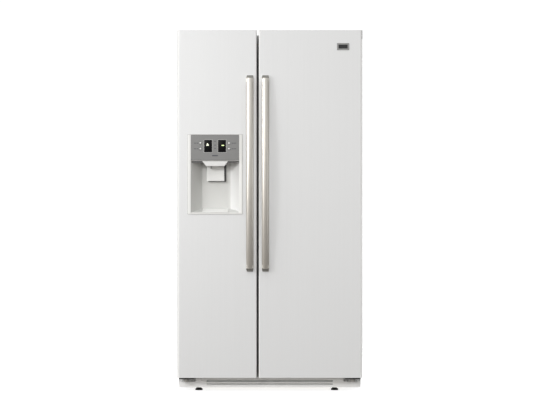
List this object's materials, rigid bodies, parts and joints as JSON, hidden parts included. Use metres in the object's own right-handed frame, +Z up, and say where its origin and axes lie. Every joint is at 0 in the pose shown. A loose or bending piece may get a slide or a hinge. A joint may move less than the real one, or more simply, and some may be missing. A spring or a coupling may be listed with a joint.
{
  "type": "side by side refrigerator",
  "caption": "Side by side refrigerator with bowed bar handles, a narrow freezer door that holds an ice and water dispenser, and a wider fridge door.",
  "frame": {"origin": "on the floor, under the middle of the object's box", "axes": "+Z up, -Y the side that the doors face, +X to the right seen from the front"},
  "size_m": [0.894, 0.78, 1.753],
  "materials": {
    "door_steel": "pale silver, fine vertical brushing, satin",
    "cabinet_paint": "light grey textured enamel",
    "white_plastic": "white moulded, low gloss",
    "liner_plastic": "white formed sheet, gloss",
    "grey_plastic": "mid grey moulded, matt",
    "black_plastic": "black moulded, matt",
    "clear_plastic": "clear moulded, gloss",
    "shelf_glass": "toughened clear glass in a white trim",
    "panel_silver": "silver grey satin",
    "button_silver": "bright silver satin",
    "handle_steel": "warm satin steel",
    "dark_steel": "black coated",
    "zinc_steel": "zinc plated",
    "black_paint": "black enamel, semi gloss",
    "foam": "rigid foam",
    "gasket_rubber": "grey, matt"
  },
  "bodies": {
    "cabinet": {"outer_shell": "cabinet_paint", "foam_core": "foam", "centre_rail": "grey_plastic", "back_panel": "cabinet_paint", "base_frame": "zinc_steel", "base_grille": "white_plastic", "top_hinge_left": "zinc_steel", "top_hinge_right": "zinc_steel", "hinge_cover_left": "grey_plastic", "hinge_cover_right": "grey_plastic", "bottom_hinge_left": "dark_steel", "bottom_hinge_right": "dark_steel", "machine_cover": "grey_plastic", "compressor": "black_paint", "water_valve": "white_plastic", "freezer_liner": "liner_plastic", "fridge_liner": "liner_plastic", "freezer_shelf_upper": "shelf_glass", "freezer_shelf_lower": "shelf_glass", "fridge_shelf_upper": "shelf_glass", "fridge_shelf_lower": "shelf_glass", "crisper_cover": "shelf_glass", "fridge_air_duct": "liner_plastic", "ice_bin": "clear_plastic"},
    "freezer_door": {"freezer_door_skin": "door_steel", "freezer_door_foam": "foam", "freezer_door_liner": "liner_plastic", "freezer_door_cap_top": "white_plastic", "freezer_door_cap_bottom": "white_plastic", "freezer_door_gasket": "gasket_rubber", "freezer_handle": "handle_steel", "freezer_door_bin": "clear_plastic", "dispenser_housing": "white_plastic", "control_panel": "panel_silver", "ice_chute": "white_plastic", "drip_grille": "white_plastic"},
    "fridge_door": {"fridge_door_skin": "door_steel", "fridge_door_foam": "foam", "fridge_door_liner": "liner_plastic", "fridge_door_cap_top": "white_plastic", "fridge_door_cap_bottom": "white_plastic", "fridge_door_gasket": "gasket_rubber", "fridge_handle": "handle_steel", "fridge_door_bin_upper": "clear_plastic", "fridge_door_bin_lower": "clear_plastic"},
    "freezer_drawer_upper": {"freezer_drawer_upper": "clear_plastic"},
    "freezer_drawer_lower": {"freezer_drawer_lower": "clear_plastic"},
    "crisper_upper": {"crisper_upper": "clear_plastic"},
    "crisper_lower": {"crisper_lower": "clear_plastic"},
    "ice_auger": {"ice_auger": "white_plastic"},
    "button_upper_left": {"button_upper_left": "button_silver"},
    "button_lower_left": {"button_lower_left": "button_silver"},
    "button_upper_right": {"button_upper_right": "button_silver"},
    "button_lower_right": {"button_lower_right": "button_silver"},
    "dispenser_paddle": {"dispenser_paddle": "white_plastic"},
    "chute_flap": {"chute_flap": "grey_plastic"},
    "levelling_foot_left": {"levelling_foot_left": "black_plastic"},
    "levelling_foot_right": {"levelling_foot_right": "black_plastic"},
    "rear_roller_left": {"rear_roller_left": "grey_plastic"},
    "rear_roller_right": {"rear_roller_right": "grey_plastic"}
  },
  "joints": [
    {"name": "freezer_door_hinge", "type": "hinge", "parent": "cabinet", "child": "freezer_door", "pos_m": [-0.403, -0.293, 0.9], "axis": [0, 0, -1], "range_deg": [0, 110]},
    {"name": "fridge_door_hinge", "type": "hinge", "parent": "cabinet", "child": "fridge_door", "pos_m": [0.403, -0.293, 0.9], "axis": [0, 0, 1], "range_deg": [0, 110]},
    {"name": "freezer_drawer_upper_slide", "type": "slide", "parent": "cabinet", "child": "freezer_drawer_upper", "axis": [0, -1, 0], "range_m": [0, 0.05]},
    {"name": "freezer_drawer_lower_slide", "type": "slide", "parent": "cabinet", "child": "freezer_drawer_lower", "axis": [0, -1, 0], "range_m": [0, 0.05]},
    {"name": "crisper_upper_slide", "type": "slide", "parent": "cabinet", "child": "crisper_upper", "axis": [0, -1, 0], "range_m": [0, 0.05]},
    {"name": "crisper_lower_slide", "type": "slide", "parent": "cabinet", "child": "crisper_lower", "axis": [0, -1, 0], "range_m": [0, 0.05]},
    {"name": "ice_auger_turn", "type": "hinge", "parent": "cabinet", "child": "ice_auger", "pos_m": [-0.2635, 0.03, 1.364], "axis": [0, 1, 0], "continuous": true},
    {"name": "button_upper_left_press", "type": "slide", "parent": "freezer_door", "child": "button_upper_left", "axis": [0, 1, 0], "range_m": [0, 0.0015], "stiffness_N_per_m": 400},
    {"name": "button_lower_left_press", "type": "slide", "parent": "freezer_door", "child": "button_lower_left", "axis": [0, 1, 0], "range_m": [0, 0.0015], "stiffness_N_per_m": 400},
    {"name": "button_upper_right_press", "type": "slide", "parent": "freezer_door", "child": "button_upper_right", "axis": [0, 1, 0], "range_m": [0, 0.0015], "stiffness_N_per_m": 400},
    {"name": "button_lower_right_press", "type": "slide", "parent": "freezer_door", "child": "button_lower_right", "axis": [0, 1, 0], "range_m": [0, 0.0015], "stiffness_N_per_m": 400},
    {"name": "paddle_swing", "type": "hinge", "parent": "freezer_door", "child": "dispenser_paddle", "pos_m": [-0.2635, -0.261, 1.112], "axis": [1, 0, 0], "range_deg": [0, 12], "stiffness_Nm_per_rad": 0.6},
    {"name": "chute_flap_swing", "type": "hinge", "parent": "freezer_door", "child": "chute_flap", "pos_m": [-0.2635, -0.286, 1.152], "axis": [1, 0, 0], "range_deg": [0, 55]},
    {"name": "left_foot_screw", "type": "hinge", "parent": "cabinet", "child": "levelling_foot_left", "pos_m": [-0.348, -0.187, 0.03], "axis": [0, 0, 1], "continuous": true},
    {"name": "right_foot_screw", "type": "hinge", "parent": "cabinet", "child": "levelling_foot_right", "pos_m": [0.319, -0.187, 0.03], "axis": [0, 0, 1], "continuous": true},
    {"name": "left_roller_turn", "type": "hinge", "parent": "cabinet", "child": "rear_roller_left", "pos_m": [-0.4, 0.325, 0.02], "axis": [1, 0, 0], "continuous": true},
    {"name": "right_roller_turn", "type": "hinge", "parent": "cabinet", "child": "rear_roller_right", "pos_m": [0.4, 0.325, 0.02], "axis": [1, 0, 0], "continuous": true}
  ],
  "couplings": [
    {"joint": "chute_flap_swing", "follows": "paddle_swing", "ratio": 4.5}
  ]
}
